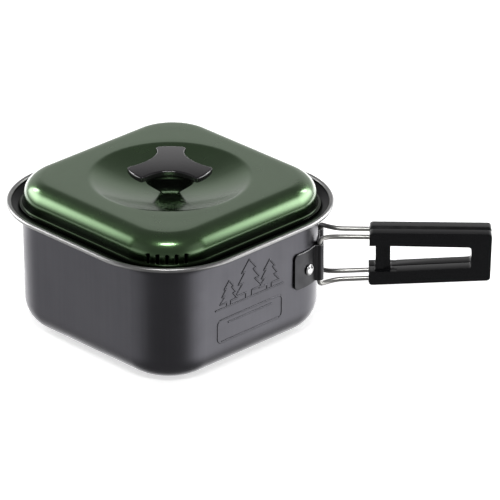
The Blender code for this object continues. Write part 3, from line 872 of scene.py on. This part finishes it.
def plateOutline(inset):
    hollow = knob["waist"] + knob["waistArc"]
    arc = knob["waistArc"] + inset
    outer = knob["wing"] - inset
    rounding = knob["wingCorner"] - inset
    reach = outer - rounding
    cosine = (reach ** 2 + hollow ** 2 - (arc + rounding) ** 2) / (2 * reach * hollow)
    cornerAngle = math.radians(60) - math.acos(cosine)
    corner = reach * facing(cornerAngle)
    hollowMiddle = hollow * facing(math.radians(60))
    half = []
    for step in range(10):
        turn = cornerAngle * step / 10
        half.append(outer * facing(turn))
    toward = hollowMiddle - corner
    endTurn = math.atan2(toward.y, toward.x)
    for step in range(9):
        turn = cornerAngle + (endTurn - cornerAngle) * step / 8
        half.append(corner + rounding * facing(turn))
    first = endTurn + math.pi
    last = math.radians(240)
    for step in range(1, 25):
        turn = first + (last - first) * step / 24
        half.append(hollowMiddle + arc * facing(turn))
    polar = [(math.atan2(point.y, point.x), point.length) for point in half]
    mirrored = [(-angle, radius) for angle, radius in polar[1:-1]]
    points = []
    for number in range(3):
        base = math.radians(90 + 120 * number)
        points += [(base + angle, radius) for angle, radius in mirrored[::-1] + polar]
    return points


def stemRadius(angle, flat, corner):
    fromFlat = (angle - math.radians(150)) % math.radians(120)
    fromFlat = min(fromFlat, math.radians(120) - fromFlat)
    straight = flat / math.cos(fromFlat)
    power = knob["sharpness"]
    return (straight ** -power + corner ** -power) ** (-1 / power)


def knobRing(outline, share, height):
    ring = []
    for angle, reach in outline:
        radius = share * reach
        level = height + knob["crown"] * (1 - (radius / knob["wing"]) ** 2)
        ring.append(around(radius, angle, level))
    return ring


def makeKnob():
    directions = [angle for angle, _ in plateOutline(0)]
    rise = plateBottom - knobLow.z
    stations = []
    for share, flat, corner in stemGrowth:
        size = (knob["footFlat"] * flat, knob["footCorner"] * corner)
        stations.append(Vector((size[0], size[1], knobLow.z + rise * share)))
    smooth = throughPoints(stations, 6)
    foot = smooth[0]
    rings = []
    for inset, lift in ((0.0005, 0), (0.0002, 0.0001), (0, 0.0004)):
        size = (foot.x - inset, foot.y - inset)
        rings.append([(angle, stemRadius(angle, *size), knobLow.z + lift) for angle in directions])
    for flat, corner, height in smooth[1:]:
        rings.append([(angle, stemRadius(angle, flat, corner), height) for angle in directions])
    # cove that runs from the stem out under the plate
    top = rings[-1]
    under = plateOutline(knob["edge"])
    for step in range(1, 6):
        turn = math.pi / 2 * step / 6
        ring = []
        for (angle, radius, height), (_, reach) in zip(top, under):
            level = plateBottom + knob["crown"] * (1 - (reach / knob["wing"]) ** 2)
            spread = radius + (reach - radius) * (1 - math.cos(turn))
            ring.append((angle, spread, height + (level - height) * math.sin(turn)))
        rings.append(ring)
    points = [[around(r, a, z) for a, r, z in ring] for ring in rings]
    edge = knob["edge"]
    for step in range(7):
        turn = math.pi / 2 * step / 6
        outline = plateOutline(edge * (1 - math.sin(turn)))
        points.append(knobRing(outline, 1, plateBottom + edge * (1 - math.cos(turn))))
    for step in range(7):
        turn = math.pi / 2 * step / 6
        outline = plateOutline(edge * (1 - math.cos(turn)))
        points.append(knobRing(outline, 1, plateTop - edge * (1 - math.sin(turn))))
    outline = plateOutline(edge)
    for share in (0.97, 0.9, 0.8, 0.68, 0.55, 0.42, 0.3, 0.18, 0.08):
        points.append(knobRing(outline, share, plateTop))
    body = loftObject("lidKnob", points, sharpAngle=50)
    socket = loftObject("socketCutter", turnedRings([
        (knob["socket"], knobLow.z - 0.001),
        (knob["socket"], knobLow.z + knob["socketDepth"]),
    ], 48))
    takeAway(body, socket)
    return bake(body, socket)


knobPlastic = glossBlack()
finishPiece(makeKnob(), "lid", "knob", knobPlastic, "lid_knob")
print("knob made")

# screw, washer and bush that hold the knob

hardware = {
    "screwRadius": 0.0020,
    "headRadius": 0.0040,
    "headHeight": 0.0022,
    "threadPitch": 0.0007,
    "threadDepth": 0.00022,
    "crossReach": 0.9,  # arms of the cross in the head, as shares of its radius
    "crossWidth": 0.2,
    "washerBore": 0.0023,
    "washerEdge": 0.00015,
    "insertBore": 0.0022,
    "insertEdge": 0.0003,
}


def makeScrew():
    low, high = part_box("knob_screw")
    seat = low.z + hardware["headHeight"]
    radius = hardware["screwRadius"]
    head = hardware["headRadius"]
    profile = [(0.02 * head, low.z)]
    for step in range(1, 13):
        turn = math.pi / 2 * step / 12
        bulge = 0.55 + 0.45 * math.sin(turn)
        profile.append((head * bulge, low.z + 0.6 * hardware["headHeight"] * (1 - math.cos(turn))))
    profile += [(head, seat - 0.0002), (head - 0.0001, seat), (radius, seat), (radius, seat + 0.0008)]
    height = seat + 0.0010
    while height < high.z - 0.0012:
        profile.append((radius - hardware["threadDepth"], height))
        profile.append((radius, height + hardware["threadPitch"] / 2))
        height += hardware["threadPitch"]
    profile += [(0.85 * radius, high.z - 0.0004), (0.7 * radius, high.z)]
    screw = loftObject("knobScrew", turnedRings(profile, 48), sharpAngle=30)
    cutters = []
    reach = hardware["crossReach"] * head
    width = hardware["crossWidth"] * head
    for name, sizeX, sizeY in (("crossA", reach, width), ("crossB", width, reach)):
        bm = bmesh.new()
        bmesh.ops.create_cube(bm, size=1)
        scale = (sizeX, sizeY, hardware["headHeight"])
        bmesh.ops.scale(bm, vec=scale, verts=bm.verts)
        cutter = meshObject(name, bm)
        cutter.location = (0, 0, low.z)
        takeAway(screw, cutter)
        cutters.append(cutter)
    return bake(screw, *cutters)


def makeRound(name, node, bore, edge):
    # flat ring with softened edges in the place of a node
    low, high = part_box(node)
    outer = high.x
    profile = [
        (bore + edge, low.z),
        (outer - edge, low.z),
        (outer - 0.3 * edge, low.z + 0.3 * edge),
        (outer, low.z + edge),
        (outer, high.z - edge),
        (outer - 0.3 * edge, high.z - 0.3 * edge),
        (outer - edge, high.z),
        (bore + edge, high.z),
        (bore, high.z - edge),
        (bore, low.z + edge),
    ]
    return loftObject(name, turnedRings(profile), loop=True, sharpAngle=30)


stainless = turnedMetal("stainless washer", (0.58, 0.57, 0.55), (0.74, 0.73, 0.71), 0.2)
zinc = turnedMetal("zinc plated steel", (0.46, 0.47, 0.47), (0.62, 0.63, 0.64), 0.28)
brass = turnedMetal("turned brass", (0.60, 0.43, 0.18), (0.78, 0.60, 0.30), 0.25)
screw = makeScrew()
washer = makeRound("knobWasher", "knob_washer", hardware["washerBore"], hardware["washerEdge"])
insert = makeRound("knobInsert", "knob_insert", hardware["insertBore"], hardware["insertEdge"])
finishPiece(screw, "lid", "screw", zinc, "knob_screw")
finishPiece(washer, "lid", "washer", stainless, "knob_washer")
finishPiece(insert, "lid", "insert", brass, "knob_insert")
print("knob hardware made")

# bracket and rivets

bracket = {
    "sheet": 0.0008,
    "gap": 0.0001,
    "flat": 0.0062,
    "tabCorner": 0.0028,
    "barrelGap": 0.0003,
    "barrelSweep": 200,
    "edge": 0.00022,
    "edgeHighlight": 0.0005,  # height of the painted highlight band along the top edge
}
rivet = {
    "angle": 36,
    "height": 0.0417,
    "headRadius": 0.00325,
    "headHeight": 0.0016,
    "shankRadius": 0.0020,
    "tailRadius": 0.0030,
    "tailHeight": 0.0012,
    "clearance": 0.0003,
    "hole": 0.0023,
}
wire = {
    "radius": 0.00135,
    "bend": 0.0025,
    "legY": 0.0053,
    "legStart": 0.099,
    "legEnd": 0.150,
    "turn": 37,
    "lowZ": 0.0299,
    "highZ": 0.0556,
}
bracketLow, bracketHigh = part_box("handle_bracket")
hinge = Vector(joints["handle_rear_fold"]["pos_m"])
cornerCentre = (pot["half"] - pot["corner"]) * math.sqrt(2)


def bracketLine():
    radius = pot["corner"] + bracket["gap"] + bracket["sheet"] / 2
    centre = Vector((cornerCentre, 0))
    pin = Vector((hinge.x, hinge.y))
    arm = pin - centre
    barrelTurn = math.atan2(arm.y, arm.x)
    barrel = wire["radius"] + bracket["barrelGap"] + bracket["sheet"] / 2
    footTurn = math.asin(1.45 * barrel / radius)
    half = []
    for step in range(9):
        turn = (barrelTurn - footTurn) * step / 8
        half.append(centre + radius * facing(turn))
    sweep = []
    for step in range(25):
        turn = barrelTurn + math.radians(bracket["barrelSweep"] * (step / 24 - 0.5))
        sweep.append(pin + barrel * facing(turn))
    first = barrelTurn + footTurn
    foot = centre + radius * facing(first)
    # small coves where the sheet leaves the pot and comes back to it
    half += throughPoints([half[-1], half[-1].lerp(sweep[0], 0.5), sweep[0]], 3)[1:-1]
    half += sweep
    half += throughPoints([sweep[-1], sweep[-1].lerp(foot, 0.5), foot], 3)[1:-1]
    for step in range(15):
        turn = first + (math.pi / 4 - first) * step / 14
        half.append(centre + radius * facing(turn))
    along = Vector((-1, 1)).normalized()
    end = half[-1]
    for step in range(1, 25):
        half.append(end + along * bracket["flat"] * math.sin(math.pi / 2 * step / 24))
    mirrored = [Vector((point.x, -point.y)) for point in half[:0:-1]]
    return mirrored + half


def makeBracket():
    line = bracketLine()
    last = len(line) - 1
    corner = bracket["tabCorner"]
    edge = bracket["edge"]
    rings = []
    for i, point in enumerate(line):
        along = (line[min(i + 1, last)] - line[max(i - 1, 0)]).normalized()
        side = Vector((along.y, -along.x))
        toEnd = min((point - line[0]).length, (point - line[-1]).length)
        missing = max(corner - toEnd, 0)
        trim = min(corner - math.sqrt(max(corner ** 2 - missing ** 2, 0)), 0.96 * corner)
        low = bracketLow.z + trim
        high = bracketHigh.z - trim
        half = bracket["sheet"] / 2
        section = []
        for across, upright, first in ((1, 1, 0), (-1, 1, 90), (-1, -1, 180), (1, -1, 270)):
            for step in range(4):
                turn = math.radians(first + 30 * step)
                out = across * (half - edge) + edge * math.cos(turn)
                level = (high - edge if upright > 0 else low + edge) + edge * math.sin(turn)
                section.append((out, level))
            if across != upright:
                for step in range(1, 16):
                    share = step / 16
                    begin = high - edge if upright > 0 else low + edge
                    finish = low + edge if upright > 0 else high - edge
                    section.append((across * half, begin + share * (finish - begin)))
        rings.append([Vector((*(point + side * out), level)) for out, level in section])
    sheet = loftObject("handleBracket", rings, sharpAngle=35)
    cutters = []
    for side in (-1, 1):
        place = rivetPlace(side)
        ends = [(rivet["hole"], -0.004), (rivet["hole"], 0.004)]
        hole = loftObject(f"rivetHole{side + 1}", turnedRings(ends, 40))
        hole.matrix_world = place
        takeAway(sheet, hole)
        cutters.append(hole)
    normals = sheet.modifiers.new("even shading", "WEIGHTED_NORMAL")
    normals.keep_sharp = True
    return bake(sheet, *cutters)


def rivetPlace(side):
    turn = side * math.radians(rivet["angle"])
    out = Vector((math.cos(turn), math.sin(turn), 0))
    place = Matrix.Translation(Vector((cornerCentre, 0, rivet["height"])) + out * pot["corner"])
    return place @ out.to_track_quat("Z", "Y").to_matrix().to_4x4()


def makeRivet(name, side):
    gap = rivet["clearance"]
    seat = bracket["gap"] + bracket["sheet"] + gap
    tail = -pot["sheet"] - 3 * gap
    head = rivet["headRadius"]
    rise = rivet["headHeight"]
    profile = []
    for step in range(7):
        turn = math.pi / 2 * step / 6
        radius = rivet["tailRadius"] - 0.0005 * (1 - math.sin(turn))
        profile.append((radius, tail - rivet["tailHeight"] + 0.0005 * (1 - math.cos(turn))))
    profile += [(rivet["tailRadius"], tail), (rivet["shankRadius"], tail), (rivet["shankRadius"], seat)]
    profile += [(head - 0.0001, seat), (head, seat + 0.0001), (head, seat + 0.22 * rise)]
    for step in range(1, 16):
        turn = math.pi / 2 * step / 16
        profile.append((head * math.cos(turn), seat + rise * (0.22 + 0.78 * math.sin(turn))))
    body = loftObject(name, turnedRings(profile, 56), sharpAngle=50)
    body.data.transform(rivetPlace(side))
    return body


# the lighter band at the top edge of the bracket is painted highlight
bracketMetal = darkSheetSteel(bracketHigh.z - bracket["edgeHighlight"], bracketHigh.z)
rivetMetal = rivetAluminium()
finishPiece(makeBracket(), "pot", "bracket", bracketMetal, "handle_bracket")
finishPiece(makeRivet("rivetFront", -1), "pot", "rivets", rivetMetal, "rivet_front")
finishPiece(makeRivet("rivetRear", 1), "pot", "rivets", rivetMetal, "rivet_rear")
print("bracket and rivets made")

# wire loops

gripLow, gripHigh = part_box("grip_rear")
grip = {
    "startX": gripLow.x,
    "endX": gripHigh.x,
    "innerY": gripLow.y,
    "outerY": gripHigh.y,
    "lowZ": (gripLow.z, gripLow.z + 0.0032),
    "highZ": (gripHigh.z, gripHigh.z - 0.0005),
    "slant": 0.0008,  # how far the ends lean
    "barX": 0.1157,
    "ribX": 0.1204,
    "windowX": (0.1240, 0.1696),
    "windowLow": (0.0350, 0.0376),
    "windowHigh": (0.0511, 0.0503),
    "corner": 0.0022,
    "windowCorner": 0.0016,
    "edge": 0.0006,
    "innerSlope": 0.0018,  # sloped edge between the two grips
    "barRecess": 0.0020,
    "webRecess": 0.0038,
}
lowTaper = (grip["lowZ"][1] - grip["lowZ"][0]) / (grip["endX"] - grip["startX"])
highTaper = (grip["highZ"][1] - grip["highZ"][0]) / (grip["endX"] - grip["startX"])


def legPoint(x, high):
    if high:
        return Vector((x, wire["legY"], wire["highZ"] + highTaper * (x - grip["startX"])))
    return Vector((x, wire["legY"], wire["lowZ"] + lowTaper * (x - grip["startX"])))


def legPath(high):
    low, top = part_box("wire_loop_rear")
    height = top.z - wire["radius"] if high else low.z + wire["radius"]
    sign = 1 if high else -1
    turn = math.radians(wire["turn"])
    outward = Vector((math.cos(turn), -math.sin(turn), 0))
    pin = Vector((hinge.x, hinge.y, 0))
    points = []
    for step in range(13):
        bend = math.pi / 2 * step / 12
        shift = outward * wire["bend"] * (1 - math.cos(bend))
        level = height - sign * wire["bend"] * (1 - math.sin(bend))
        points.append(pin + shift + Vector((0, 0, level)))
    start = points.pop()
    end = legPoint(wire["legStart"], high)
    points += bezier(start, start + 0.0045 * outward, end - Vector((0.005, 0, 0)), end, 22)
    for step in range(1, 9):
        points.append(legPoint(wire["legStart"] + (wire["legEnd"] - wire["legStart"]) * step / 8, high))
    return points


def makeLoop(name, side):
    upper = legPath(True)
    lower = legPath(False)
    middle = [upper[0].lerp(lower[0], step / 8) for step in range(1, 8)]
    path = [Vector((p.x, side * p.y, p.z)) for p in upper[::-1] + middle + lower]
    return loftObject(name, tubeRings(path, wire["radius"]), sharpAngle=50)


wireMetal = polishedStainless()
finishPiece(makeLoop("wireLoopFront", -1), "handle_front", "wire", wireMetal, "wire_loop_front")
finishPiece(makeLoop("wireLoopRear", 1), "handle_rear", "wire", wireMetal, "wire_loop_rear")
print("wire loops made")

# grips


def roundedOutline(corners, radius, steps=7):
    points = []
    count = len(corners)
    for i, corner in enumerate(corners):
        back = (corners[i - 1] - corner).normalized()
        ahead = (corners[(i + 1) % count] - corner).normalized()
        halfAngle = back.angle(ahead) / 2
        reach = radius / math.tan(halfAngle)
        start = corner + back * reach
        end = corner + ahead * reach
        middle = corner + (back + ahead).normalized() * radius / math.sin(halfAngle)
        for step in range(steps + 1):
            arm = (start - middle).lerp(end - middle, step / steps)
            points.append(middle + radius * arm.normalized())
    return points


def slab(name, outline, lowY, highY):
    return loftObject(name, [[Vector((p.x, y, p.y)) for p in outline] for y in (lowY, highY)])


def boxOutline(lowX, highX, lowZ, highZ):
    return [Vector((lowX, lowZ)), Vector((highX, lowZ)), Vector((highX, highZ)), Vector((lowX, highZ))]


def makeGrip(name, side):
    lean = grip["slant"]
    corners = [
        Vector((grip["startX"], grip["lowZ"][0])),
        Vector((grip["endX"] - lean, grip["lowZ"][1])),
        Vector((grip["endX"], grip["highZ"][1])),
        Vector((grip["startX"] + lean / 2, grip["highZ"][0])),
    ]
    window = [
        Vector((grip["windowX"][0], grip["windowLow"][0])),
        Vector((grip["windowX"][1], grip["windowLow"][1])),
        Vector((grip["windowX"][1], grip["windowHigh"][1])),
        Vector((grip["windowX"][0], grip["windowHigh"][0])),
    ]
    lowZ, highZ = grip["windowLow"][0], grip["windowHigh"][0]
    notch = boxOutline(grip["startX"] - 0.01, grip["barX"], lowZ, highZ)
    lowY, highY = sorted((side * grip["innerY"], side * grip["outerY"]))
    body = slab(name, roundedOutline(corners, grip["corner"]), lowY, highY)
    cutters = []
    for part, outline, radius in (("window", window, grip["windowCorner"]), ("notch", notch, 0.001)):
        cutter = slab(part, roundedOutline(outline, radius), lowY - 0.003, highY + 0.003)
        takeAway(body, cutter)
        cutters.append(cutter)
    # the upright between the legs is set back from the outer face, in two steps
    steps = (("bar", grip["barX"] - 0.004, grip["barRecess"]), ("web", grip["ribX"], grip["webRecess"]))
    for part, lowX, depth in steps:
        outline = roundedOutline(boxOutline(lowX, grip["windowX"][0] + 0.004, lowZ, highZ), 0.0008)
        edges = sorted((side * (grip["outerY"] - depth), side * (grip["outerY"] + 0.003)))
        cutter = slab(part, outline, *edges)
        takeAway(body, cutter)
        cutters.append(cutter)
    slope = grip["innerSlope"]
    rings = []
    ends = ((grip["startX"] - 0.002, grip["highZ"][0]), (grip["endX"] + 0.002, grip["highZ"][1]))
    for x, level in ends:
        ring = [(-0.002, slope + 0.002), (-0.002, -slope - 0.002), (slope + 0.002, 0.002)]
        rings.append([Vector((x, side * (grip["innerY"] + out), level + up)) for out, up in ring[::side]])
    cutter = loftObject("innerSlope", rings)
    takeAway(body, cutter)
    cutters.append(cutter)
    bake(body, *cutters)
    edge = body.modifiers.new("edge", "BEVEL")
    edge.width = grip["edge"]
    edge.segments = 4
    edge.limit_method = "ANGLE"
    edge.angle_limit = math.radians(50)
    cutters = []
    for high in (False, True):
        start = legPoint(grip["startX"] - 0.005, high)
        end = legPoint(wire["legEnd"] + 0.0003, high)
        start.y *= side
        end.y *= side
        bore = loftObject(f"bore{int(high)}", tubeRings([start, end], wire["radius"] + 0.0002, 32))
        takeAway(body, bore)
        cutters.append(bore)
    # moulding gate mark near the free end
    bm = bmesh.new()
    bmesh.ops.create_uvsphere(bm, u_segments=24, v_segments=14, radius=0.0011)
    dimple = meshObject("dimple", bm)
    dimple.location = (grip["endX"] - 0.0052, side * (grip["outerY"] + 0.0006), 0.0455)
    takeAway(body, dimple)
    cutters.append(dimple)
    bake(body, *cutters)
    body.data.set_sharp_from_angle(angle=math.radians(38))
    return body


gripPlastic = matteBlack()
finishPiece(makeGrip("gripFront", -1), "handle_front", "grips", gripPlastic, "grip_front")
finishPiece(makeGrip("gripRear", 1), "handle_rear", "grips", gripPlastic, "grip_rear")
print("grips made")
